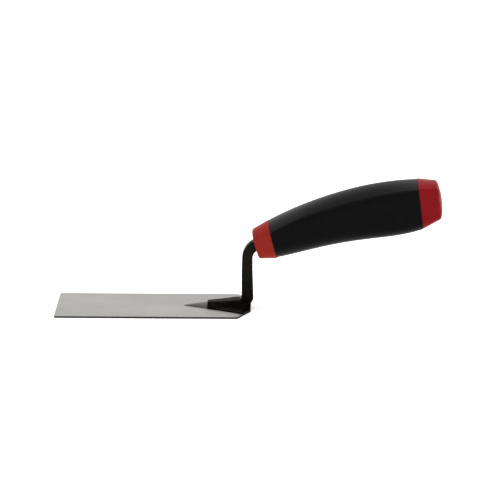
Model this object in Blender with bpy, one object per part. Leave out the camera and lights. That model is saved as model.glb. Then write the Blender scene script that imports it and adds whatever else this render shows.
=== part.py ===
"""Margin trowel: a flat steel blade on a forged gooseneck shank, with a soft-grip handle.

The blade lies flat with its working face on Z = 0 and that face's centre at the world origin. +X runs
from the blade's tip towards the handle, and the whole tool is symmetric about Y = 0. Sizes below are in
millimetres and angles in degrees; new_object turns them into the scene's metres.
"""

import math

import bmesh
import bpy
import numpy as np

MM = 0.001
GAP = 0.3  # between pieces that touch on the real tool

# Blade: a 5 by 2 inch rectangle with its heel corners cut off
BLADE_LENGTH = 127.0
BLADE_WIDTH = 50.8
BLADE_THICKNESS = 1.2
HEEL_FLAT = 20.4  # what the two corner cuts leave of the heel's edge
CORNER_CUT = 8.3  # length of each corner cut along the blade

# Foot: the flat spear-shaped end of the forging, which lies on the blade
FOOT_LENGTH = 44.2  # from its point to the heel
FOOT_SPREAD = 0.435  # half-width gained per millimetre at the point
FOOT_FLARE = 0.0012  # how much faster it widens towards the heel
FOOT_RIB_HALF_WIDTH = 9.5  # of the thick rib that runs up the middle
FOOT_POINT_HALF_WIDTH = 0.25
FOOT_POINT_FLANGE = 0.1
FOOT_FLANGE_WIDTH = 4.0  # where the flange is this wide it has its full thickness beside the rib
FOOT_EDGE = 0.35  # thickness of the thin flange at its edge
FOOT_TIP = 15.9  # length of its ground point, which ends at a step up to the rib
FOOT_STEP_RUN = 0.25
FOOT_RIB_RISE = (0.0, 0.95, 2.45, 3.15, 4.2, 4.0, 3.2)  # height of the rib, from the point to the heel
FOOT_RIB_FLAT = (0.1, 3.2, 2.8, 3.8, 4.6, 4.6, 4.4)  # half-width of its flat top at the same places
FOOT_RIB_PLACES = (0.0, FOOT_TIP - FOOT_STEP_RUN, FOOT_TIP, 26.8, 35.0, 39.0, 44.1)
FOOT_FLANGE_RISE = 0.25  # how much thicker the flange is beside the rib than at its edge
FOOT_FLANK = ((0.85, 0.12), (0.55, 0.45), (0.12, 0.93))  # (share of the rib's slope, share of its rise)
FOOT_CORNER = 4.9  # where the foot meets the corner cuts, ahead of the heel
FOOT_INSET = 0.1  # how far its edge stays inside the blade's
FOOT_STATIONS = 12

# Neck: a rounded bar that rises from the heel and bends back into the handle
NECK_CENTRE = 2.75  # its centre line ahead of the blade's heel
NECK_OUTSIDE = 3.05  # thickness from the centre line to the outside of the bend
NECK_INSIDE = 3.87
NECK_HALF_WIDTH = 4.2
NECK_CORNER = 1.6
NECK_STRAIGHT_TOP = 34.0  # height where the bend begins
BEND_RADIUS = 10.2
BEND_STEPS = 9
NECK_ROOT = (  # (height, reach ahead of the centre line, reach behind it)
    (2.0, 5.6, 2.5),
    (3.6, 5.4, 2.8),
    (4.7, 5.2, 3.5),
    (5.9, 4.9, 4.15),
    (6.6, 4.0, 4.35),
    (7.6, 3.4, 4.4),
    (14.0, 3.3, 4.2),
    (25.0, 3.3, 3.87),
)

# Tang: the round end of the same bar, inside the handle
TANG_RADIUS = 3.3
TANG_ROUND_AT = 9.0  # distance behind the collar's face where the bar has become round
TANG_LENGTH = 40.0
TANG_BARB_DEPTH = 0.5
TANG_BARBS = 4
TANG_BARB_PITCH = 5.0
TANG_BARB_STEP = 0.3  # length of a barb's steep side
TANG_TIP = 1.0  # bevel of the tang's end

# Handle: every section stands on a spine that leaves the collar's face tilted up, and flattens
SPINE_START = (65.6, 43.0)
SPINE_FRONT_TILT = 20.2
SPINE_REAR_TILT = 7.6
SPINE_BEND_LENGTH = 87.0
COLLAR_FACE = 1.1
COLLAR_END = 12.9
COLLAR_LEAN = 4.0  # the collar stands this much straighter than the spine's normal
LEAN_REACH = 25.0  # how far behind the collar the lean dies out
CAP_START = 110.8
CAP_RIM = 122.1
CAP_DOME = 3.0
CAP_DOME_TURNS = (8, 22, 42, 64, 82)  # angles up the dome
SIDE_DRAFT = 0.03
LEAST_RADIUS = 0.6  # of the corners of an inner wall

# (half-width, height of the top's edges above the spine, depth of the bottom below it, radius of the
# top corners, radius of the bottom corners, rise of the arched top over its edges)
COLLAR_FRONT = (11.1, 6.76, 9.1, 0.8, 8.0, 2.4)
COLLAR_REAR = (14.8, 7.78, 12.2, 0.8, 9.5, 4.2)
CAP_FRONT = (14.6, 17.65, 10.45, 1.0, 5.5, 2.0)
CAP_REAR = (11.1, 15.95, 6.5, 1.0, 4.5, 1.5)
GRIP_TOPS = (7.9, 12.8, 15.55, 17.45, 17.35)  # at five even steps along the grip
GRIP_BOTTOMS = (11.65, 12.55, 12.75, 13.15, 10.75)
GRIP_HALF_WIDTH = 15.0
GRIP_CROWNS = (4.0, 3.2, 3.6, 3.4, 2.1)
GRIP_TOP_RADII = (2.5, 5.0)  # at its ends and in its middle
GRIP_BOTTOM_RADII = (10.0, 6.5)  # at its front and at its rear

COLLAR_WALL = 2.6
COLLAR_FRONT_WALL = 2.6
GRIP_THICKNESS = 2.4
LOCK_RIB_HEIGHT = 1.0
LOCK_RIB_WIDTH = 4.0
LOCK_RIB_RAMP = 0.6
LOCK_RIBS = (30.0, 52.0, 74.0, 96.0)  # centres of the core's ribs, which key the grip
LOCK_RIB_LEAD = 8.0  # an extra section this far ahead of each rib follows the handle's curve
CORE_WALL = 2.0
CAVITY_START = 44.0
CAVITY_STATIONS = 9
PLUG_LENGTH = 9.0
PLUG_WALL = 1.6
PLUG_LEAD = 1.0  # length of the lead-in at the plug's front
PLUG_LEAD_DEPTH = 0.4
CAP_WALL = 2.2
CAP_FLOOR = 0.4  # from the cap's hollow to the plane of its rim, under the dome
PLUG_ROOT = 2.0  # depth of the shoulder that carries the plug
EDGE_ROUND = 0.8  # rounded front edge of the collar
LIP_ROUND = 0.35  # slight rounding where the collar, grip and cap meet

ARC_STEPS = 6
ARCH_STEPS = 4
HEEL = BLADE_LENGTH / 2
FOOT_POINT = HEEL - FOOT_LENGTH
FOOT_UNDERSIDE = BLADE_THICKNESS + GAP


# --- scene ---------------------------------------------------------------------------------------------


def clear_scene():
    for obj in list(bpy.data.objects):
        bpy.data.objects.remove(obj, do_unlink=True)
    for collection in list(bpy.data.collections):
        bpy.data.collections.remove(collection)


def new_collection(name, helper=False):
    collection = bpy.data.collections.new(name)
    bpy.context.scene.collection.children.link(collection)
    collection.hide_render = helper
    return collection


def new_material(name, color, roughness, metallic=0.0):
    material = bpy.data.materials.new(name)
    material.use_nodes = True
    shader = material.node_tree.nodes["Principled BSDF"]
    shader.inputs["Base Color"].default_value = (*color, 1.0)
    shader.inputs["Roughness"].default_value = roughness
    shader.inputs["Metallic"].default_value = metallic
    material.diffuse_color = (*color, 1.0)
    return material


def new_object(name, data, collection, material=None):
    obj = bpy.data.objects.new(name, data)
    collection.objects.link(obj)
    if material:
        data.materials.append(material)
    return obj


# --- sections and lofts --------------------------------------------------------------------------------


def arc(centre_y, centre_z, radius, start, end):
    """Points of an arc, whose angles are measured from +Y towards +Z."""
    turns = [math.radians(start + (end - start) * i / ARC_STEPS) for i in range(ARC_STEPS + 1)]
    return [(centre_y + radius * math.cos(a), centre_z + radius * math.sin(a)) for a in turns]


def rounded_section(half_width, top, bottom, top_radius, bottom_radius, crown=0.0, draft=0.0):
    """A closed outline of (y, z) points, from the bottom's middle round the +Y side and back."""
    low_half_width = half_width - draft * (top + bottom)
    slope = math.degrees(math.atan2(2 * crown, half_width))
    right = [(0.0, -bottom)]
    right += arc(low_half_width - bottom_radius, bottom_radius - bottom, bottom_radius, -90, -4)
    right += arc(half_width - top_radius, top - top_radius, top_radius, 4, 90 - slope)
    edge, shoulder = right[-1]
    rise = top + crown - shoulder
    for i in range(1, ARCH_STEPS + 1):
        share = 1 - i / ARCH_STEPS
        right.append((edge * share, shoulder + rise * (1 - share**2)))
    return right + [(-y, z) for y, z in right[-2:0:-1]]


def round_section(radius):
    count = 4 * (ARC_STEPS + 1) + 2 * ARCH_STEPS
    turns = [2 * math.pi * i / count - math.pi / 2 for i in range(count)]
    return [(radius * math.cos(a), radius * math.sin(a)) for a in turns]


def placed(section, origin, tilt):
    """The section's points in space, on a plane whose normal is tilted up from +X by the angle given."""
    x, z = origin
    along, up = -math.sin(math.radians(tilt)), math.cos(math.radians(tilt))
    return [(x + along * height, side, z + up * height) for side, height in section]


def loft(name, rings, collection, material, closed_ring=False):
    """One closed skin over the rings, capped at both ends, or joined end to end with closed_ring."""
    mesh = bmesh.new()
    rows = [[mesh.verts.new([value * MM for value in point]) for point in ring] for ring in rings]
    pairs = list(zip(rows, rows[1:]))
    if closed_ring:
        pairs.append((rows[-1], rows[0]))
    else:
        mesh.faces.new(rows[0])
        mesh.faces.new(rows[-1])
    for first, second in pairs:
        for i in range(len(first)):
            mesh.faces.new((first[i - 1], first[i], second[i], second[i - 1]))
    bmesh.ops.recalc_face_normals(mesh, faces=mesh.faces)
    data = bpy.data.meshes.new(name)
    mesh.to_mesh(data)
    mesh.free()
    data.shade_smooth()
    data.set_sharp_from_angle(angle=math.radians(30))
    return new_object(name, data, collection, material)


def between(first, second, share):
    return [a + (b - a) * share for a, b in zip(first, second)]


def through(places, values, at):
    """The smooth polynomial through the values given at those places."""
    return float(np.polyval(np.polyfit(places, values, len(places) - 1), at))


# --- blade ---------------------------------------------------------------------------------------------


def make_blade(collection, material):
    half = BLADE_WIDTH / 2
    side = [(-HEEL, half), (HEEL - CORNER_CUT, half), (HEEL, HEEL_FLAT / 2)]
    outline = side + [(x, -y) for x, y in reversed(side)]
    curve = bpy.data.curves.new("blade", "CURVE")
    curve.dimensions = "2D"
    curve.fill_mode = "BOTH"
    curve.extrude = BLADE_THICKNESS / 2 * MM
    spline = curve.splines.new("POLY")
    spline.points.add(len(outline) - 1)
    for point, (x, y) in zip(spline.points, outline):
        point.co = (x * MM, y * MM, 0.0, 1.0)
    spline.use_cyclic_u = True
    blade = new_object("blade", curve, collection, material)
    blade.location.z = BLADE_THICKNESS / 2 * MM
    return blade


# --- shank: foot, neck and tang in one forging -----------------------------------------------------------


def foot_half_width(x):
    """The foot widens from its point, and its rear corners follow the blade's corner cuts."""
    run = x - FOOT_POINT
    spear = FOOT_SPREAD * run + FOOT_FLARE * run**2
    cut_slope = (BLADE_WIDTH - HEEL_FLAT) / 2 / CORNER_CUT
    return min(spear, HEEL_FLAT / 2 + (HEEL - x) * cut_slope - FOOT_INSET)


def foot_ring(x):
    """The foot's outline across the blade: flat base, thin flanges, and a rib with a nearly flat top."""
    edge = max(foot_half_width(x), FOOT_POINT_HALF_WIDTH)
    rib = min(FOOT_RIB_HALF_WIDTH, edge - FOOT_POINT_FLANGE)
    run = x - FOOT_POINT
    rise = float(np.interp(run, FOOT_RIB_PLACES, FOOT_RIB_RISE))
    flat = min(float(np.interp(run, FOOT_RIB_PLACES, FOOT_RIB_FLAT)), rib * 0.6)
    thickness = FOOT_EDGE + FOOT_FLANGE_RISE * min(1.0, (edge - rib) / FOOT_FLANGE_WIDTH)
    half = [(edge, 0.0), (edge, FOOT_EDGE), (0.65 * rib + 0.35 * edge, thickness)]
    half += [(flat + out * (rib - flat), thickness + up * rise) for out, up in FOOT_FLANK]
    half.append((0.9 * flat, thickness + rise))
    left = [(-y, z) for y, z in reversed(half)]
    outline = [(0.0, 0.0)] + half + [(0.0, thickness + 1.02 * rise)] + left
    return [(x, y, FOOT_UNDERSIDE + z) for y, z in outline]


def neck_path(distance):
    """A point (x, z) on the bar's centre line and its tilt, by distance from Z = 0 along that line."""
    x = HEEL - NECK_CENTRE
    if distance <= NECK_STRAIGHT_TOP:
        return (x, distance), 90.0
    turned = math.degrees((distance - NECK_STRAIGHT_TOP) / BEND_RADIUS)
    tilt = max(90.0 - turned, SPINE_FRONT_TILT)
    bend_x = x + BEND_RADIUS * (1 - math.sin(math.radians(tilt)))
    bend_z = NECK_STRAIGHT_TOP + BEND_RADIUS * math.cos(math.radians(tilt))
    beyond = max(distance - bend_end(), 0.0)
    slope = math.radians(tilt)
    return (bend_x + beyond * math.cos(slope), bend_z + beyond * math.sin(slope)), tilt


def bend_end():
    return NECK_STRAIGHT_TOP + BEND_RADIUS * math.radians(90 - SPINE_FRONT_TILT)


def bar_section(behind_face, clearance=0.0):
    """The bar's section, from its rounded rectangle ahead of the collar to the tang's circle."""
    share = min(max(behind_face / TANG_ROUND_AT, 0.0), 1.0)
    flat = rounded_section(NECK_HALF_WIDTH, NECK_OUTSIDE, NECK_INSIDE, NECK_CORNER, NECK_CORNER)
    ring = round_section(TANG_RADIUS)
    points = [between(a, b, share) for a, b in zip(flat, ring)]
    scales = [1 + clearance / math.hypot(y, z) for y, z in points]
    return [(y * scale, z * scale) for (y, z), scale in zip(points, scales)]


def bar_ring(behind_face, clearance=0.0):
    """The bar's ring at a distance behind the collar's face, which lies where the bend ends."""
    origin, tilt = neck_path(bend_end() + behind_face)
    return placed(bar_section(behind_face, clearance), origin, tilt)


def neck_root_rings():
    """The bar's straight stretch: a fillet in front of its root, a rounded corner over the heel."""
    rings = []
    for height, front, rear in NECK_ROOT:
        section = rounded_section(NECK_HALF_WIDTH, front, rear, NECK_CORNER, NECK_CORNER)
        rings.append(placed(section, (HEEL - NECK_CENTRE, height), 90.0))
    return rings


def tang_rings():
    """The straight tang behind the collar's face, with barbs near its end that bite into the core."""
    rings = [bar_ring(TANG_ROUND_AT * i / 3) for i in range(1, 4)]
    first_barb = TANG_LENGTH - TANG_BARBS * TANG_BARB_PITCH
    for barb in range(TANG_BARBS):
        start = first_barb + barb * TANG_BARB_PITCH
        rings.append(bar_ring(start))
        rings.append(bar_ring(start + TANG_BARB_STEP, -TANG_BARB_DEPTH))
        rings.append(bar_ring(start + 0.5 * TANG_BARB_PITCH, -TANG_BARB_DEPTH))
    rings.append(bar_ring(TANG_LENGTH - TANG_TIP))
    rings.append(bar_ring(TANG_LENGTH, -TANG_TIP))
    return rings


def make_shank(collection, helpers, material):
    spear = FOOT_LENGTH - FOOT_CORNER
    stations = [FOOT_POINT + spear * i / FOOT_STATIONS for i in range(FOOT_STATIONS + 1)]
    stations += [FOOT_POINT + FOOT_TIP - FOOT_STEP_RUN, FOOT_POINT + FOOT_TIP]
    stations += [HEEL - FOOT_CORNER / 2, HEEL - FOOT_INSET]
    stations.sort()
    foot = loft("foot_form", [foot_ring(x) for x in stations], helpers, None)
    foot.hide_render = True
    foot.display_type = "WIRE"
    bend_length = bend_end() - NECK_STRAIGHT_TOP
    bend = [bar_ring(bend_length * (i / BEND_STEPS - 1)) for i in range(BEND_STEPS + 1)]
    shank = loft("shank", neck_root_rings() + bend + tang_rings(), collection, material)
    union = shank.modifiers.new("join the foot", "BOOLEAN")
    union.operation = "UNION"
    union.object = foot
    return shank


# --- handle ----------------------------------------------------------------------------------------------


def spine(distance):
    """A point (x, z) on the handle's spine and its tilt: an arc that flattens, then a straight line."""
    front, rear = math.radians(SPINE_FRONT_TILT), math.radians(SPINE_REAR_TILT)
    turn = (rear - front) / SPINE_BEND_LENGTH
    bent = min(distance, SPINE_BEND_LENGTH)
    tilt = front + turn * bent
    beyond = distance - bent
    x = SPINE_START[0] + (math.sin(tilt) - math.sin(front)) / turn + beyond * math.cos(tilt)
    z = SPINE_START[1] - (math.cos(tilt) - math.cos(front)) / turn + beyond * math.sin(tilt)
    return (x, z), math.degrees(tilt)


def lean(distance):
    """How much straighter a section stands than the spine's normal."""
    behind_collar = max(distance - COLLAR_END, 0.0)
    return COLLAR_LEAN * max(0.0, 1 - behind_collar / LEAN_REACH)


def form(distance, inset=0.0):
    """The handle's outer section at a distance along the spine, shrunk by an inset."""
    if distance <= COLLAR_END:
        sizes = between(COLLAR_FRONT, COLLAR_REAR, distance / COLLAR_END)
    elif distance >= CAP_START:
        sizes = between(CAP_FRONT, CAP_REAR, (distance - CAP_START) / (CAP_RIM - CAP_START))
    else:
        sizes = grip_sizes((distance - COLLAR_END) / (CAP_START - COLLAR_END))
    half_width, top, bottom, top_radius, bottom_radius, crown = sizes
    return rounded_section(
        half_width - inset,
        top - inset,
        bottom - inset,
        max(top_radius - inset, LEAST_RADIUS),
        max(bottom_radius - inset, LEAST_RADIUS),
        crown,
        SIDE_DRAFT,
    )


def grip_sizes(share):
    places = [i / (len(GRIP_TOPS) - 1) for i in range(len(GRIP_TOPS))]
    end_radius, middle_radius = GRIP_TOP_RADII
    return (
        GRIP_HALF_WIDTH,
        through(places, GRIP_TOPS, share),
        through(places, GRIP_BOTTOMS, share),
        end_radius + (middle_radius - end_radius) * math.sin(math.pi * share),
        GRIP_BOTTOM_RADII[0] + (GRIP_BOTTOM_RADII[1] - GRIP_BOTTOM_RADII[0]) * share,
        through(places, GRIP_CROWNS, share),
    )


def handle_ring(distance, inset=0.0):
    origin, tilt = spine(distance)
    return placed(form(distance, inset), origin, tilt - lean(distance))


def make_front_collar(collection, material):
    """A cup with a hole for the bar in its front wall, open behind for the core's nose."""
    wall_end = COLLAR_FACE + COLLAR_FRONT_WALL
    rings = [
        handle_ring(COLLAR_FACE, 1.5 * EDGE_ROUND),
        handle_ring(COLLAR_FACE + 0.4 * EDGE_ROUND, 0.5 * EDGE_ROUND),
        handle_ring(COLLAR_FACE + 1.6 * EDGE_ROUND),
        handle_ring(COLLAR_END - LIP_ROUND),
        handle_ring(COLLAR_END, LIP_ROUND),
        handle_ring(COLLAR_END, COLLAR_WALL),
        handle_ring(wall_end, COLLAR_WALL),
    ]
    reach = COLLAR_FACE + SPINE_START[0] - neck_path(bend_end())[0][0]
    hole = [bar_ring(reach + COLLAR_FRONT_WALL * i / 2, GAP) for i in (2, 1, 0)]
    hole[0] = on_section_plane(hole[0], wall_end)
    hole[-1] = on_section_plane(hole[-1], COLLAR_FACE)
    return loft("front_collar", rings + hole, collection, material, closed_ring=True)


def on_section_plane(ring, distance):
    """The ring's points, moved along the bar onto the handle's section plane at that distance."""
    (x, z), tilt = spine(distance)
    normal = math.radians(tilt - lean(distance))
    slope = math.radians(SPINE_FRONT_TILT)
    moved = []
    for px, py, pz in ring:
        off = (px - x) * math.cos(normal) + (pz - z) * math.sin(normal)
        step = -off / math.cos(normal - slope)
        moved.append((px + step * math.cos(slope), py, pz + step * math.sin(slope)))
    return moved


def core_stations():
    """(distance, extra) along the core under the grip, where extra is a locking rib's height."""
    stations = [(COLLAR_END + GAP, 0.0)]
    for centre in LOCK_RIBS:
        start, end = centre - LOCK_RIB_WIDTH / 2, centre + LOCK_RIB_WIDTH / 2
        stations += [(start - LOCK_RIB_LEAD, 0.0), (start, 0.0)]
        stations += [(start + LOCK_RIB_RAMP, LOCK_RIB_HEIGHT), (end - LOCK_RIB_RAMP, LOCK_RIB_HEIGHT)]
        stations.append((end, 0.0))
    stations.append((CAP_START - GAP, 0.0))
    return stations


def make_handle_core(collection, material):
    """A rigid moulding: a nose in the collar, ribs under the grip, a bore for the tang, a hollow rear."""
    nose = COLLAR_FACE + COLLAR_FRONT_WALL + GAP
    outer = [handle_ring(s, COLLAR_WALL + GAP) for s in (nose, COLLAR_END - GAP)]
    outer += [handle_ring(s, GRIP_THICKNESS + GAP - extra) for s, extra in core_stations()]
    inset = GRIP_THICKNESS + GAP + CORE_WALL
    mouth = CAP_START - GAP
    step = (mouth - CAVITY_START) / (CAVITY_STATIONS - 1)
    cavity = [handle_ring(mouth - step * i, inset) for i in range(CAVITY_STATIONS)]
    bore = [bar_ring(s, GAP) for s in (CAVITY_START, TANG_ROUND_AT, TANG_ROUND_AT / 2, 0.0)]
    bore[0] = on_section_plane(bore[0], CAVITY_START)
    bore[-1] = on_section_plane(bore[-1], nose)
    return loft("handle_core", outer + cavity + bore, collection, material, closed_ring=True)


def make_grip(collection, material):
    """A thick soft sleeve over the core, keyed to its ribs."""
    front, rear = COLLAR_END + GAP, CAP_START - GAP
    steps = 16
    outer = [handle_ring(front, LIP_ROUND), handle_ring(front + LIP_ROUND)]
    outer += [handle_ring(front + (rear - front) * i / steps) for i in range(1, steps)]
    outer += [handle_ring(rear - LIP_ROUND), handle_ring(rear, LIP_ROUND)]
    inner = [handle_ring(s, GRIP_THICKNESS - extra) for s, extra in widened(core_stations())]
    return loft("grip", outer + inner[::-1], collection, material, closed_ring=True)


def widened(stations):
    """The core's stations with each rib a gap longer at both ends, for the groove that takes it."""
    result = list(stations)
    for i in range(1, len(stations) - 1):
        distance, extra = stations[i]
        ahead, behind = stations[i - 1][1], stations[i + 1][1]
        if extra < behind or (extra > 0 and extra > ahead):
            result[i] = (distance - GAP, extra)
        elif extra < ahead or (extra > 0 and extra > behind):
            result[i] = (distance + GAP, extra)
    return result


def make_butt_cap(collection, material):
    """A hollow cap whose plug fills the mouth of the core."""
    plug_inset = GRIP_THICKNESS + GAP + CORE_WALL + GAP
    plug_front = CAP_START - GAP - PLUG_LENGTH
    rings = [
        handle_ring(CAP_RIM - CAP_FLOOR, CAP_WALL),
        handle_ring(CAP_START + PLUG_ROOT, CAP_WALL),
        handle_ring(CAP_START + PLUG_ROOT, plug_inset + PLUG_WALL),
        handle_ring(plug_front, plug_inset + PLUG_WALL),
        handle_ring(plug_front, plug_inset + PLUG_LEAD_DEPTH),
        handle_ring(plug_front + PLUG_LEAD, plug_inset),
        handle_ring(CAP_START, plug_inset),
        handle_ring(CAP_START, LIP_ROUND),
        handle_ring(CAP_START + LIP_ROUND),
        handle_ring(CAP_RIM - LIP_ROUND),
    ]
    origin, tilt = spine(CAP_RIM)
    along, up = math.cos(math.radians(tilt)), math.sin(math.radians(tilt))
    rim = form(CAP_RIM)
    middle = (max(z for _, z in rim) + min(z for _, z in rim)) / 2
    for turn in CAP_DOME_TURNS:
        rise = CAP_DOME * math.sin(math.radians(turn))
        shrink = math.cos(math.radians(turn))
        section = [(y * shrink, middle + (z - middle) * shrink) for y, z in rim]
        rings.append(placed(section, (origin[0] + along * rise, origin[1] + up * rise), tilt))
    return loft("butt_cap", rings, collection, material)


# --- assembly --------------------------------------------------------------------------------------------


def main():
    clear_scene()
    trowel = new_collection("margin_trowel")
    helpers = new_collection("cutters", helper=True)
    steel = new_material("ground steel", (0.45, 0.45, 0.43), 0.35, 1.0)
    black_paint = new_material("black lacquer on steel", (0.012, 0.012, 0.012), 0.35)
    black_rubber = new_material("black soft grip", (0.01, 0.01, 0.011), 0.6)
    collar_red = new_material("red plastic of the collar", (0.33, 0.02, 0.02), 0.35)
    cap_red = new_material("red plastic of the cap", (0.33, 0.02, 0.02), 0.35)
    core_plastic = new_material("black plastic of the core", (0.03, 0.03, 0.03), 0.5)
    make_blade(trowel, steel)
    make_shank(trowel, helpers, black_paint)
    make_front_collar(trowel, collar_red)
    make_handle_core(trowel, core_plastic)
    make_grip(trowel, black_rubber)
    make_butt_cap(trowel, cap_red)


main()
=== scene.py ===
"""Looks of the margin trowel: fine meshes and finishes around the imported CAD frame.

Sizes are in millimetres in the CAD's own frame: the blade's working face is on Z = 0 with its centre at
the origin, +X runs to the handle, and the tool is symmetric about Y = 0. Meshes are written in metres.
"""

import math

import bmesh
import bpy
import numpy as np
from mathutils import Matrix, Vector


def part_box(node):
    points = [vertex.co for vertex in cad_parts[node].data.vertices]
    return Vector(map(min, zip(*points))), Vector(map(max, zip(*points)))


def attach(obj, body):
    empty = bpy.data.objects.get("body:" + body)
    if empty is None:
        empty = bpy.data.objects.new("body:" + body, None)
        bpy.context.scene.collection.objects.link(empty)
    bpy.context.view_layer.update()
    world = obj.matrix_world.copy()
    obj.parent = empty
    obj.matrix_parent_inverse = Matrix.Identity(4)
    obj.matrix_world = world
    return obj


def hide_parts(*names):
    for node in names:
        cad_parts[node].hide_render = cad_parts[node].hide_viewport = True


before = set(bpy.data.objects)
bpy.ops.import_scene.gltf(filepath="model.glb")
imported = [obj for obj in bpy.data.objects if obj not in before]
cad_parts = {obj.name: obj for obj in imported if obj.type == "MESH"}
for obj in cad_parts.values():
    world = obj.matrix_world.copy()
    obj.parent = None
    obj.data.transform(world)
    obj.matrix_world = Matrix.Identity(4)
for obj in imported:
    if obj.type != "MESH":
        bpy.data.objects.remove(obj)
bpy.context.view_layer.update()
MM = 0.001

# --- sizes of the CAD part, in millimetres -------------------------------------------------------------

BLADE_LOW, BLADE_HIGH = (np.array(corner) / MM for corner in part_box("blade"))
HEEL = BLADE_HIGH[0]
BLADE_TOP = BLADE_HIGH[2]
HEEL_FLAT = 20.4
CORNER_CUT = 8.3
EDGE_BREAK = 0.08  # the fine chamfer that grinding leaves on the blade's edges
EDGE_KNEE = 0.3 * EDGE_BREAK  # inset and depth of the chamfer's middle, which make it round
CORNER_RADIUS = 0.6
CORNER_STEPS = 6
UPRIGHT = 0.8  # a face of the blade is part of its edge when its normal's Z is below this

FOOT_LENGTH = 44.2
FOOT_CORNER = 4.9
FOOT_SPREAD = 0.435
FOOT_FLARE = 0.0012
FOOT_INSET = 0.1  # how far the foot's edge stays inside the blade's corner cuts
FOOT_TIP = 0.12  # half width at the point
FOOT_SUNK = 0.5  # the foot's underside is out of sight, inside the blade
FOOT_COLUMNS = 61
FOOT_ROWS = 81
FOOT_HEEL_ROWS = 14
FOOT_FLANGE = 0.78
FLANGE_TIP_SHARE = 0.4  # of the flange's thickness, at the foot's point
FLANGE_TAPER = 12.0  # length over which the flange would gain its whole thickness
RIB_HALF_WIDTH = 9.5
RIB_INSET = 0.05  # the least flange left beside the rib
RIB_FLAT_LIMIT = 0.6  # most of the rib's half width that its flat top takes
RIB_BLEND = 2.0
RIB_CAMBER = 0.02
FLANK_BLUR = 0.09  # rounding at the flank's two ends, as a share of its width
RIB_RISE = (0.0, 2.3, 3.15, 4.2, 4.0, 3.2)
RIB_FLAT = (0.1, 2.6, 3.8, 4.6, 4.6, 4.4)
RIB_PLACES = (0.0, 15.8, 26.8, 35.0, 39.0, 44.1)
PAINT_LINE = 35.2  # X of the lacquer's edge; the foot's point ahead of it is ground thin and bare
STEP_RUN = 0.2
GROUND_SHARE = 0.5  # what the grinding leaves of the point's thickness
VOXEL = 0.27
FORGED_SOFTNESS = 0.5
FORGED_PASSES = 5

NECK_CENTRE = 2.75
NECK_OUTSIDE = 3.05
NECK_INSIDE = 3.87
NECK_HALF_WIDTH = 4.2
NECK_CORNER = 1.6
NECK_STRAIGHT_TOP = 34.0
BEND_RADIUS = 10.2
ROOT_TOP = 8.0  # below this height the neck's rings lie close together
ROOT_STEPS, NECK_STEPS, BEND_STEPS, TANG_STEPS = 18, 24, 20, 24
NECK_ROOT = (  # height over the blade's face, then the bar's reach ahead and behind
    (1.2, 5.9, 2.4),
    (2.0, 5.6, 2.5),
    (3.6, 5.4, 2.8),
    (4.7, 5.2, 3.5),
    (5.9, 4.9, 4.15),
    (6.6, 4.0, 4.35),
    (7.6, 3.4, 4.4),
    (14.0, 3.3, 4.2),
    (25.0, 3.3, 3.87),
)
TANG_RADIUS = 3.3
TANG_ROUND_AT = 9.0
TANG_LENGTH = 40.0

SPINE_START = (65.6, 43.0)
SPINE_TILTS = (20.2, 7.6)
SPINE_BEND_LENGTH = 87.0
NECK_BEND_LENGTH = BEND_RADIUS * math.radians(90 - SPINE_TILTS[0])
COLLAR_FACE = 1.1
COLLAR_ROUND = 0.9
COLLAR_END = 12.9
COLLAR_LEAN = 4.0
LEAN_REACH = 25.0
CAP_START = 110.8
CAP_RIM = 122.1
CAP_SOFTENING = 0.6  # the last ring before the dome stops short of the rim, which softens its edge
CAP_DOME = 3.0
DOME_TURNS = (6, 88)  # degrees of the quarter turn that the dome's rings cover
DOME_STEPS = 24
SIDE_DRAFT = 0.03
# The sections at each end of the collar and cap: half width, rise of the top's edges and depth of the
# bottom from the spine, the radii of the top's and the bottom's corners, and the crown over the top.
COLLAR_FRONT = (11.1, 6.76, 9.1, 0.8, 8.0, 2.4)
COLLAR_REAR = (14.8, 7.78, 12.2, 0.8, 9.5, 4.2)
CAP_FRONT = (14.6, 17.65, 10.45, 1.0, 5.5, 2.0)
CAP_REAR = (11.1, 15.95, 6.5, 1.0, 4.5, 1.5)
# The same for the grip, at five places evenly spread along it; the radii are (ends, middle) for the top
# and (front, rear) for the bottom.
GRIP_TOPS = (7.9, 12.8, 15.55, 17.45, 17.35)
GRIP_CROWNS = (4.0, 3.2, 3.6, 3.4, 2.1)
GRIP_BOTTOMS = (11.65, 12.55, 12.75, 13.15, 10.75)
GRIP_HALF_WIDTH = 15.0
GRIP_TOP_RADII = (2.5, 5.0)
GRIP_BOTTOM_RADII = (10.0, 6.5)
WALL = 2.6
SEAM = 0.04  # half of the fine line between two mouldings
RIM_ROUND = 0.25
LEAST_RADIUS = 0.6
GRIP_STEPS = 90
END_STEPS = 10  # rings along the collar, and along the cap

ARC_STEPS = 12
ARCH_STEPS = 12
LOW_STEPS, SIDE_STEPS = 4, 6
SIDE_GAP = 4  # degrees by which the corner arcs stop short of the side that joins them
CREASE_ANGLE = 40.0
FORGED_CREASE_ANGLE = 60.0

# --- stage, lights and camera, in metres and degrees ---------------------------------------------------

FLOOR_HALF_SIZE = 5.0
FLOOR_GAP = 0.0002
FLOOR_GLOW = 0.5
WORLD_GRADIENT = {"From Min": 0.2, "From Max": 0.9, "To Min": 0.3, "To Max": 0.8}
SUNS = (  # name, place, energy, angle across, and whether it shows in reflections
    ("left", (-1.2, 0.1, 1.4), 0.7, 40, False),
    ("top", (0.0, 0.0, 1.5), 1.0, 60, False),
    ("right", (1.2, 0.1, 1.4), 2.0, 40, True),
)
CAMERA_PLACE = (0.0947, -1.6860, 0.5341)
CAMERA_TURN = (90 - 16.359, -0.037, 1.092)
CAMERA_SENSOR, CAMERA_LENS = 36.0, 194.4  # millimetres
CAMERA_REACH = 50.0

NOISE_RANGE = (0.3, 0.7)  # most of a noise texture's values lie between these
NOISE_ROUGHNESS = 0.55


# --- shapes --------------------------------------------------------------------------------------------


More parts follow.
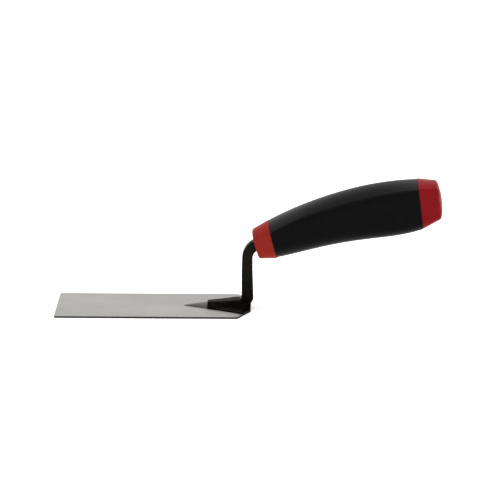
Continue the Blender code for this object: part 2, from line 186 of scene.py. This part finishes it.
def arc(centre_y, centre_z, radius, start, end):
    turns = np.radians(np.linspace(start, end, ARC_STEPS + 1))
    return [(centre_y + radius * math.cos(a), centre_z + radius * math.sin(a)) for a in turns]


def straight(first, last, count):
    """Points strictly between two points, so that long flat sides have vertices too."""
    shares = np.linspace(0, 1, count + 2)[1:-1]
    return [tuple(a + (b - a) * s for a, b in zip(first, last)) for s in shares]


def rounded_section(half_width, top, bottom, top_radius, bottom_radius, crown=0.0, draft=0.0):
    """A closed outline of (y, z) points, from the bottom's middle round the +Y side and back."""
    low_half = half_width - draft * (top + bottom)
    slope = math.degrees(math.atan2(2 * crown, half_width))
    low = arc(low_half - bottom_radius, bottom_radius - bottom, bottom_radius, -90, -SIDE_GAP)
    high = arc(half_width - top_radius, top - top_radius, top_radius, SIDE_GAP, 90 - slope)
    edge, shoulder = high[-1]
    shares = np.linspace(1, 0, ARCH_STEPS + 1)[1:]
    arch = [(edge * s, shoulder + (top + crown - shoulder) * (1 - s**2)) for s in shares]
    right = [(0.0, -bottom)] + straight((0.0, -bottom), low[0], LOW_STEPS) + low
    right += straight(low[-1], high[0], SIDE_STEPS) + high + arch
    return right + [(-y, z) for y, z in right[-2:0:-1]]


def placed(section, origin, tilt):
    """The section's points in space, on a plane whose normal is tilted up from +X by the angle given."""
    x, z = origin
    along, up = -math.sin(math.radians(tilt)), math.cos(math.radians(tilt))
    return [(x + along * height, side, z + up * height) for side, height in section]


def skin(name, rings, closed_ring=False):
    """One closed mesh over the rings, capped at both ends, or joined end to end with closed_ring."""
    mesh = bmesh.new()
    rows = [[mesh.verts.new([value * MM for value in point]) for point in ring] for ring in rings]
    pairs = list(zip(rows, rows[1:]))
    if closed_ring:
        pairs.append((rows[-1], rows[0]))
    else:
        mesh.faces.new(rows[0])
        mesh.faces.new(rows[-1])
    for first, second in pairs:
        for i in range(len(first)):
            mesh.faces.new((first[i - 1], first[i], second[i], second[i - 1]))
    bmesh.ops.recalc_face_normals(mesh, faces=mesh.faces)
    return as_object(name, mesh)


def as_object(name, mesh, angle=CREASE_ANGLE):
    data = bpy.data.meshes.new(name)
    mesh.to_mesh(data)
    mesh.free()
    data.shade_smooth()
    data.set_sharp_from_angle(angle=math.radians(angle))
    obj = bpy.data.objects.new(name, data)
    bpy.context.scene.collection.objects.link(obj)
    return obj


def finish_piece(obj, node, slot, *materials):
    for material in materials:
        obj.data.materials.append(material)
    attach(obj, "root")
    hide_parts(node)


def applied(obj):
    """The object's mesh with its modifiers applied, and the object itself gone."""
    graph = bpy.context.evaluated_depsgraph_get()
    data = bpy.data.meshes.new_from_object(obj.evaluated_get(graph))
    bpy.data.objects.remove(obj, do_unlink=True)
    return data


# --- blade ---------------------------------------------------------------------------------------------


def rounded_corners(outline, radius):
    """The closed outline with each corner replaced by an arc of that radius."""
    points = []
    count = len(outline)
    for i, corner in enumerate(outline):
        corner = np.array(corner)
        before = np.array(outline[i - 1]) - corner
        after = np.array(outline[(i + 1) % count]) - corner
        before, after = before / np.linalg.norm(before), after / np.linalg.norm(after)
        half_angle = math.acos(float(np.clip(before @ after, -1, 1))) / 2
        reach = radius / math.tan(half_angle)
        bisector = (before + after) / np.linalg.norm(before + after)
        centre = corner + bisector * radius / math.sin(half_angle)
        start, end = corner + before * reach - centre, corner + after * reach - centre
        for share in np.linspace(0, 1, CORNER_STEPS + 1):
            spoke = start + (end - start) * share
            points.append(tuple(centre + spoke / np.linalg.norm(spoke) * radius))
    return points


def make_blade(steel, edge_painted_shade, lacquer):
    half = BLADE_HIGH[1]
    side = [(BLADE_LOW[0], half), (HEEL - CORNER_CUT, half), (HEEL, HEEL_FLAT / 2)]
    outline = side + [(x, -y) for x, y in reversed(side)]
    chamfer = ((EDGE_BREAK, 0.0), (EDGE_KNEE, EDGE_KNEE), (0.0, EDGE_BREAK))
    levels = [(inset, BLADE_LOW[2] + depth) for inset, depth in chamfer]
    levels += [(inset, BLADE_TOP - depth) for inset, depth in chamfer[::-1]]
    layers = []
    for inset, height in levels:
        ring = rounded_corners(outline, CORNER_RADIUS)
        shrink = 1 - inset / half
        layers.append([(x * shrink, y * shrink, height) for x, y in ring])
    blade = skin("blade_plate", layers)
    # Edge and chamfer faces take the near-black steel, painted shade for the dark reflection they show;
    # the heel's edges take the lacquer.
    for polygon in blade.data.polygons:
        if abs(polygon.normal.z) < UPRIGHT:
            painted = polygon.center.x > (HEEL - FOOT_CORNER) * MM
            polygon.material_index = 2 if painted else 1
    finish_piece(blade, "blade", "blade_steel", steel, edge_painted_shade, lacquer)


# --- shank ---------------------------------------------------------------------------------------------


def foot_half_width(x):
    run = x - (HEEL - FOOT_LENGTH)
    spear = FOOT_SPREAD * run + FOOT_FLARE * run**2
    cut_slope = (2 * BLADE_HIGH[1] - HEEL_FLAT) / 2 / CORNER_CUT
    return max(min(spear, HEEL_FLAT / 2 + (HEEL - x) * cut_slope - FOOT_INSET), FOOT_TIP)


def along_rib(values, run):
    """The straight lines through the rib's values, averaged over a short stretch round that place."""
    around = run + np.linspace(-RIB_BLEND, RIB_BLEND, 9)
    return float(np.interp(around, RIB_PLACES, values).mean())


def rib_height(y, x):
    """Height of the foot above the blade: thin flange, sloping flank, then a nearly flat top."""
    run = x - (HEEL - FOOT_LENGTH)
    edge = foot_half_width(x)
    rib = min(RIB_HALF_WIDTH, edge - RIB_INSET)
    flat = min(along_rib(RIB_FLAT, run), RIB_FLAT_LIMIT * rib)
    rise = along_rib(RIB_RISE, run)
    thin = FOOT_FLANGE * min(1.0, FLANGE_TIP_SHARE + run / FLANGE_TAPER)
    width = rib - flat
    blur = FLANK_BLUR * width
    shares = [(rib - abs(y) + d) / width for d in np.linspace(-blur, blur, 7)]
    up = float(np.clip(shares, 0, 1).mean())
    return thin + rise * up * (1 + RIB_CAMBER * (1 - min(abs(y) / flat, 1)))


def make_foot_form():
    """A fine closed mesh of the foot alone, over a grid that narrows to its point."""
    spear = np.linspace(HEEL - FOOT_LENGTH, HEEL - FOOT_CORNER, FOOT_ROWS)
    heel = np.linspace(HEEL - FOOT_CORNER, HEEL, FOOT_HEEL_ROWS)[1:]
    rings = []
    for x in np.concatenate([spear, heel]):
        across = np.linspace(foot_half_width(x), -foot_half_width(x), FOOT_COLUMNS)
        top = [(x, y, BLADE_TOP + rib_height(y, x)) for y in across]
        under = [(x, y, BLADE_TOP - FOOT_SUNK) for y in across[::-1]]
        rings.append(top + under)
    return skin("foot_form", rings)


def bar_section(behind_face):
    """The bar's section, from its rounded rectangle ahead of the collar to the tang's circle."""
    share = min(max(behind_face / TANG_ROUND_AT, 0.0), 1.0)
    flat = rounded_section(NECK_HALF_WIDTH, NECK_OUTSIDE, NECK_INSIDE, NECK_CORNER, NECK_CORNER)
    count = len(flat)
    turns = 2 * math.pi * np.arange(count) / count - math.pi / 2
    ring = [(TANG_RADIUS * math.cos(a), TANG_RADIUS * math.sin(a)) for a in turns]
    return [(a[0] + (b[0] - a[0]) * share, a[1] + (b[1] - a[1]) * share) for a, b in zip(flat, ring)]


def bar_ring(behind_face):
    """The bar's ring at a distance behind the collar's face, which lies where the bend ends."""
    turned = min(behind_face + NECK_BEND_LENGTH, NECK_BEND_LENGTH) / BEND_RADIUS
    tilt = 90.0 - math.degrees(turned)
    slope = math.radians(tilt)
    beyond = max(behind_face, 0.0)
    x = HEEL - NECK_CENTRE + BEND_RADIUS * (1 - math.sin(slope)) + beyond * math.cos(slope)
    z = NECK_STRAIGHT_TOP + BEND_RADIUS * math.cos(slope) + beyond * math.sin(slope)
    return placed(bar_section(behind_face), (x, z), tilt)


def make_bar_form():
    """The neck from inside the foot, up round the bend and on as the tang."""
    heights, fronts, rears = zip(*NECK_ROOT, (NECK_STRAIGHT_TOP, NECK_OUTSIDE, NECK_INSIDE))
    root = np.linspace(heights[0], ROOT_TOP, ROOT_STEPS)
    neck = np.linspace(ROOT_TOP + 0.5, NECK_STRAIGHT_TOP - 0.8, NECK_STEPS)
    rings = []
    for height in np.concatenate([root, neck]):
        front = float(np.interp(height, heights, fronts))
        rear = float(np.interp(height, heights, rears))
        section = rounded_section(NECK_HALF_WIDTH, front, rear, NECK_CORNER, NECK_CORNER)
        rings.append(placed(section, (HEEL - NECK_CENTRE, height), 90.0))
    rings += [bar_ring(s) for s in np.linspace(-NECK_BEND_LENGTH, 0, BEND_STEPS)]
    rings += [bar_ring(s) for s in np.linspace(1, TANG_LENGTH, TANG_STEPS)]
    return skin("bar_form", rings)


def make_shank(lacquer, bare):
    foot, bar = make_foot_form(), make_bar_form()
    both = bmesh.new()
    for form in (foot, bar):
        both.from_mesh(form.data)
        bpy.data.objects.remove(form, do_unlink=True)
    forging = as_object("forging", both)
    remesh = forging.modifiers.new("one skin", "REMESH")
    remesh.mode = "VOXEL"
    remesh.voxel_size = VOXEL * MM
    smooth = forging.modifiers.new("forged corners", "SMOOTH")
    smooth.factor = FORGED_SOFTNESS
    smooth.iterations = FORGED_PASSES
    data = applied(forging)
    mesh = bmesh.new()
    mesh.from_mesh(data)
    bpy.data.meshes.remove(data)
    ground_end = (PAINT_LINE - STEP_RUN) * MM
    for x in (PAINT_LINE * MM, ground_end):
        geometry = mesh.verts[:] + mesh.edges[:] + mesh.faces[:]
        bmesh.ops.bisect_plane(mesh, geom=geometry, plane_co=(x, 0, 0), plane_no=(1, 0, 0))
    for vertex in mesh.verts:
        ground = min(max(PAINT_LINE - vertex.co.x / MM, 0.0) / STEP_RUN, 1.0)
        above = max(vertex.co.z - BLADE_TOP * MM, 0.0)
        vertex.co.z = BLADE_TOP * MM + above * (1 - (1 - GROUND_SHARE) * ground)
    for face in mesh.faces:
        face.material_index = 1 if face.calc_center_median().x < ground_end else 0
    shank = as_object("shank_forging", mesh, FORGED_CREASE_ANGLE)
    finish_piece(shank, "shank", "shank_paint", lacquer, bare)


# --- handle --------------------------------------------------------------------------------------------


def spine(distance):
    """A point (x, z) on the handle's spine and its tilt: an arc that flattens, then a straight line."""
    front, rear = (math.radians(tilt) for tilt in SPINE_TILTS)
    turn = (rear - front) / SPINE_BEND_LENGTH
    bent = min(distance, SPINE_BEND_LENGTH)
    tilt = front + turn * bent
    beyond = distance - bent
    x = SPINE_START[0] + (math.sin(tilt) - math.sin(front)) / turn + beyond * math.cos(tilt)
    z = SPINE_START[1] - (math.cos(tilt) - math.cos(front)) / turn + beyond * math.sin(tilt)
    return (x, z), math.degrees(tilt)


def form_sizes(distance):
    if distance <= COLLAR_END:
        share = distance / COLLAR_END
        return tuple(a + (b - a) * share for a, b in zip(COLLAR_FRONT, COLLAR_REAR))
    if distance >= CAP_START:
        share = (distance - CAP_START) / (CAP_RIM - CAP_START)
        return tuple(a + (b - a) * share for a, b in zip(CAP_FRONT, CAP_REAR))
    share = (distance - COLLAR_END) / (CAP_START - COLLAR_END)
    places = np.linspace(0, 1, len(GRIP_TOPS))
    top_end, top_middle = GRIP_TOP_RADII
    return (
        GRIP_HALF_WIDTH,
        float(np.polyval(np.polyfit(places, GRIP_TOPS, 4), share)),
        float(np.polyval(np.polyfit(places, GRIP_BOTTOMS, 4), share)),
        top_end + (top_middle - top_end) * math.sin(math.pi * share),
        GRIP_BOTTOM_RADII[0] + (GRIP_BOTTOM_RADII[1] - GRIP_BOTTOM_RADII[0]) * share,
        float(np.polyval(np.polyfit(places, GRIP_CROWNS, 4), share)),
    )


def form(distance, inset=0.0):
    """The handle's outer section at a distance along the spine, shrunk by an inset."""
    half_width, top, bottom, top_radius, bottom_radius, crown = form_sizes(distance)
    return rounded_section(
        half_width - inset,
        top - inset,
        bottom - inset,
        max(top_radius - inset, LEAST_RADIUS),
        max(bottom_radius - inset, LEAST_RADIUS),
        crown,
        SIDE_DRAFT,
    )


def handle_ring(distance, inset=0.0):
    origin, tilt = spine(distance)
    behind_collar = max(distance - COLLAR_END, 0.0)
    lean = COLLAR_LEAN * max(0.0, 1 - behind_collar / LEAN_REACH)
    return placed(form(distance, inset), origin, tilt - lean)


def rim(distance, radius, way):
    """Rings round a rim at that distance, from its end face out to its side; way is +1 for a front rim."""
    turns = np.radians(np.linspace(0, 90, 6))
    return [
        handle_ring(distance + way * radius * (1 - math.sin(a)), radius * (1 - math.cos(a)))
        for a in turns[::-1]
    ]


def outside(front, rear, front_round, steps):
    """Rings of the handle's skin from a front rim of that rounding to a rear rim."""
    body = np.linspace(front + front_round, rear - RIM_ROUND, steps)[1:-1]
    return rim(front, front_round, 1) + [handle_ring(s) for s in body] + rim(rear, RIM_ROUND, -1)[::-1]


def make_collar(plastic):
    rear = COLLAR_END - SEAM
    inner = [handle_ring(s, WALL) for s in (rear, COLLAR_FACE + WALL)]
    collar = skin("collar_moulding", outside(COLLAR_FACE, rear, COLLAR_ROUND, END_STEPS) + inner)
    finish_piece(collar, "front_collar", "red_plastic", plastic)


def make_grip(rubber):
    front, rear = COLLAR_END + SEAM, CAP_START - SEAM
    inner = [handle_ring(s, WALL) for s in np.linspace(rear, front, 6)]
    grip = skin("grip_sleeve", outside(front, rear, RIM_ROUND, GRIP_STEPS) + inner, closed_ring=True)
    finish_piece(grip, "grip", "grip_rubber", rubber)


def make_cap(plastic):
    front = CAP_START + SEAM
    body = np.linspace(front + RIM_ROUND, CAP_RIM - CAP_SOFTENING, END_STEPS)[1:]
    rings = [handle_ring(front, WALL)] + rim(front, RIM_ROUND, 1) + [handle_ring(s) for s in body]
    origin, tilt = spine(CAP_RIM)
    along, up = math.cos(math.radians(tilt)), math.sin(math.radians(tilt))
    edge = form(CAP_RIM)
    middle = (max(z for _, z in edge) + min(z for _, z in edge)) / 2
    for turn in np.radians(np.linspace(*DOME_TURNS, DOME_STEPS)):
        rise = CAP_DOME * math.sin(turn)
        share = math.cos(turn)
        section = [(y * share, middle + (z - middle) * share) for y, z in edge]
        rings.append(placed(section, (origin[0] + along * rise, origin[1] + up * rise), tilt))
    cap = skin("cap_moulding", rings)
    finish_piece(cap, "butt_cap", "red_plastic", plastic)


# --- finishes ------------------------------------------------------------------------------------------


class Finish:
    """A Principled material with short calls for the nodes that its finish needs."""

    def __init__(self, name, color, roughness, metallic=0.0, **sockets):
        self.material = bpy.data.materials.new(name)
        self.material.use_nodes = True
        self.nodes = self.material.node_tree.nodes
        self.links = self.material.node_tree.links
        self.shader = self.nodes["Principled BSDF"]
        self.set("Base Color", (*color, 1.0))
        self.set("Roughness", roughness)
        self.set("Metallic", metallic)
        for socket, value in sockets.items():
            self.set(socket.replace("_", " "), value)
        self.coordinates = self.nodes.new("ShaderNodeTexCoord").outputs["Object"]
        self.normal = None

    def set(self, socket, value):
        self.shader.inputs[socket].default_value = value

    def stretched(self, scale):
        """Object coordinates in millimetres, squeezed by a scale for each axis."""
        mapping = self.nodes.new("ShaderNodeMapping")
        mapping.inputs["Scale"].default_value = [value / MM for value in scale]
        self.links.new(self.coordinates, mapping.inputs["Vector"])
        return mapping.outputs["Vector"]

    def noise(self, scale, detail=3.0):
        """Noise whose features are about 1 / scale millimetres across on each axis."""
        texture = self.nodes.new("ShaderNodeTexNoise")
        texture.inputs["Scale"].default_value = 1.0
        texture.inputs["Detail"].default_value = detail
        texture.inputs["Roughness"].default_value = NOISE_ROUGHNESS
        self.links.new(self.stretched(scale), texture.inputs["Vector"])
        return texture.outputs["Fac"]

    def height(self):
        """Height above the blade's working face, in metres."""
        split = self.nodes.new("ShaderNodeSeparateXYZ")
        self.links.new(self.coordinates, split.inputs["Vector"])
        return split.outputs["Z"]

    def added(self, first, second):
        node = self.nodes.new("ShaderNodeMath")
        node.operation = "ADD"
        self.links.new(first, node.inputs[0])
        self.links.new(second, node.inputs[1])
        return node.outputs["Value"]

    def cells(self, scale):
        texture = self.nodes.new("ShaderNodeTexVoronoi")
        texture.feature = "SMOOTH_F1"
        texture.inputs["Scale"].default_value = 1.0
        self.links.new(self.stretched(scale), texture.inputs["Vector"])
        return texture.outputs["Distance"]

    def ramp(self, value, low, high, start, end):
        """The value mapped from low..high to start..end."""
        node = self.nodes.new("ShaderNodeMapRange")
        node.inputs["From Min"].default_value = low
        node.inputs["From Max"].default_value = high
        node.inputs["To Min"].default_value = start
        node.inputs["To Max"].default_value = end
        self.links.new(value, node.inputs["Value"])
        return node.outputs["Result"]

    def colours(self, value, dark, light, low=NOISE_RANGE[0], high=NOISE_RANGE[1]):
        """Colours the piece from dark to light as the value goes from low to high."""
        mix = self.nodes.new("ShaderNodeMix")
        mix.data_type = "RGBA"
        mix.inputs["A"].default_value = (*dark, 1.0)
        mix.inputs["B"].default_value = (*light, 1.0)
        self.links.new(self.ramp(value, low, high, 0.0, 1.0), mix.inputs["Factor"])
        self.links.new(mix.outputs["Result"], self.shader.inputs["Base Color"])

    def rough(self, value, start, end):
        self.links.new(self.ramp(value, *NOISE_RANGE, start, end), self.shader.inputs["Roughness"])

    def bump(self, height, depth):
        """Adds relief of that depth in millimetres on top of any before it."""
        node = self.nodes.new("ShaderNodeBump")
        node.inputs["Strength"].default_value = 1.0
        node.inputs["Distance"].default_value = depth * MM
        self.links.new(height, node.inputs["Height"])
        if self.normal:
            self.links.new(self.normal, node.inputs["Normal"])
        self.normal = node.outputs["Normal"]
        self.links.new(self.normal, self.shader.inputs["Normal"])


def ground_steel():
    finish = Finish("ground steel", (0.63, 0.615, 0.59), 0.4, 1.0)
    grain = finish.noise((0.05, 3.5, 3.5), detail=4.0)
    mottle = finish.noise((0.02, 0.05, 0.05), detail=3.0)
    finish.colours(mottle, (0.57, 0.556, 0.535), (0.63, 0.614, 0.59), 0.35, 0.65)
    finish.rough(grain, 0.32, 0.5)
    finish.bump(grain, 0.018)
    return finish.material


def edge_steel_painted_shade():
    # Steel of the blade's edges painted nearly black: painted shade standing in for the dark reflection of
    # the camera's side.
    finish = Finish("steel edge with painted shade", (0.03, 0.03, 0.029), 0.5, 1.0)
    grain = finish.noise((1.6, 1.6, 0.3), detail=4.0)
    finish.colours(grain, (0.018, 0.018, 0.017), (0.045, 0.044, 0.042))
    finish.bump(grain, 0.02)
    return finish.material


def bare_steel_painted_shade():
    # Bare steel painted far darker than the blade's: painted shade for the dark reflection of the ground
    # point.
    finish = Finish("bare steel with painted shade", (0.17, 0.17, 0.16), 0.42, 1.0)
    grain = finish.noise((0.12, 2.5, 2.5), detail=4.0)
    finish.colours(grain, (0.14, 0.14, 0.13), (0.21, 0.208, 0.195))
    finish.rough(grain, 0.34, 0.5)
    finish.bump(grain, 0.015)
    return finish.material


def black_lacquer():
    """Lacquer with painted shade low on the foot and painted light up the neck, where it is lighter and
    browner.
    """
    finish = Finish("black lacquer", (0.006, 0.0055, 0.0048), 0.3, Specular_IOR_Level=0.035)
    peel = finish.noise((1.1, 1.1, 1.1), detail=2.0)
    scale = finish.noise((0.35, 0.35, 0.35), detail=4.0)
    # Painted shade and light by height: the lacquer darkens towards the foot and lightens up the neck,
    # over the scale's random mottle.
    scale_and_painted_shade = finish.added(scale, finish.ramp(finish.height(), 0.007, 0.03, 0.0, 0.6))
    finish.colours(scale_and_painted_shade, (0.0014, 0.0012, 0.001), (0.0125, 0.0102, 0.007), 0.35, 1.3)
    finish.rough(scale, 0.24, 0.42)
    finish.bump(peel, 0.02)
    finish.bump(scale, 0.05)
    return finish.material


def soft_grip():
    finish = Finish("black soft grip", (0.003, 0.003, 0.0032), 0.6, Specular_IOR_Level=0.02)
    finish.set("Sheen Weight", 0.33)
    finish.set("Sheen Roughness", 0.43)
    stipple = finish.cells((2.2, 2.2, 2.2))
    dust = finish.noise((0.12, 0.12, 0.12), detail=5.0)
    finish.colours(dust, (0.0011, 0.0011, 0.0013), (0.0024, 0.0024, 0.0026), 0.35, 0.7)
    finish.rough(dust, 0.5, 0.64)
    finish.bump(stipple, 0.03)
    return finish.material


def red_plastic(name, deep, light):
    finish = Finish(name, deep, 0.35, Specular_IOR_Level=0.055)
    grain = finish.noise((4.0, 4.0, 4.0), detail=2.0)
    flow = finish.noise((0.08, 0.2, 0.2), detail=3.0)
    finish.colours(flow, deep, light)
    finish.rough(flow, 0.3, 0.42)
    finish.bump(grain, 0.006)
    return finish.material


def core_plastic():
    finish = Finish("black core plastic", (0.03, 0.03, 0.03), 0.5)
    grain = finish.noise((1.5, 1.5, 1.5), detail=3.0)
    finish.colours(grain, (0.024, 0.024, 0.024), (0.036, 0.036, 0.036))
    finish.bump(grain, 0.01)
    return finish.material


# --- stage, light and camera ---------------------------------------------------------------------------


def make_floor():
    mesh = bmesh.new()
    bmesh.ops.create_grid(mesh, x_segments=1, y_segments=1, size=FLOOR_HALF_SIZE)
    floor = as_object("floor", mesh)
    floor.location.z = -FLOOR_GAP
    finish = Finish("pale floor", (0.85, 0.85, 0.85), 0.9, Specular_IOR_Level=0.1)
    finish.set("Emission Color", (1.0, 1.0, 1.0, 1.0))
    finish.set("Emission Strength", FLOOR_GLOW)
    floor.data.materials.append(finish.material)


def make_world():
    """A white world that brightens smoothly from the camera's side to the far side."""
    world = bpy.data.worlds.new("studio")
    world.use_nodes = True
    nodes, links = world.node_tree.nodes, world.node_tree.links
    coordinates = nodes.new("ShaderNodeTexCoord")
    split = nodes.new("ShaderNodeSeparateXYZ")
    ramp = nodes.new("ShaderNodeMapRange")
    ramp.interpolation_type = "SMOOTHSTEP"
    for socket, value in WORLD_GRADIENT.items():
        ramp.inputs[socket].default_value = value
    links.new(coordinates.outputs["Generated"], split.inputs["Vector"])
    links.new(split.outputs["Y"], ramp.inputs["Value"])
    links.new(ramp.outputs["Result"], nodes["Background"].inputs["Strength"])
    nodes["Background"].inputs["Color"].default_value = (1.0, 1.0, 1.0, 1.0)
    return world


def add_sun(name, place, energy, angle, glossy):
    """A sun at that place, shining towards the origin."""
    data = bpy.data.lights.new(name, "SUN")
    data.energy = energy
    data.angle = math.radians(angle)
    sun = bpy.data.objects.new(name, data)
    sun.location = place
    sun.rotation_euler = (-Vector(place)).to_track_quat("-Z", "Y").to_euler()
    sun.visible_glossy = glossy
    bpy.context.scene.collection.objects.link(sun)


def light_scene():
    scene = bpy.context.scene
    scene.view_settings.view_transform = "Standard"
    scene.world = make_world()
    for sun in SUNS:
        add_sun(*sun)


def add_camera():
    data = bpy.data.cameras.new("camera")
    data.sensor_width = CAMERA_SENSOR
    data.lens = CAMERA_LENS
    data.clip_end = CAMERA_REACH
    camera = bpy.data.objects.new("camera", data)
    camera.location = CAMERA_PLACE
    camera.rotation_euler = [math.radians(turn) for turn in CAMERA_TURN]
    bpy.context.scene.collection.objects.link(camera)
    bpy.context.scene.camera = camera


def main():
    steel, edge_painted_shade, bare = ground_steel(), edge_steel_painted_shade(), bare_steel_painted_shade()
    lacquer, rubber = black_lacquer(), soft_grip()
    make_blade(steel, edge_painted_shade, lacquer)
    make_shank(lacquer, bare)
    # The collar and the cap are one red plastic in two copies: the collar's lighter copy is painted light.
    make_collar(red_plastic("red plastic with painted light", (0.25, 0.014, 0.01), (0.285, 0.019, 0.012)))
    make_grip(rubber)
    # The cap's copy of the same red plastic is darker: painted shade.
    make_cap(red_plastic("red plastic with painted shade", (0.195, 0.003, 0.006), (0.225, 0.005, 0.008)))
    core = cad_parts["handle_core"]
    core.data.materials.clear()
    core.data.materials.append(core_plastic())
    make_floor()
    light_scene()
    add_camera()


main()
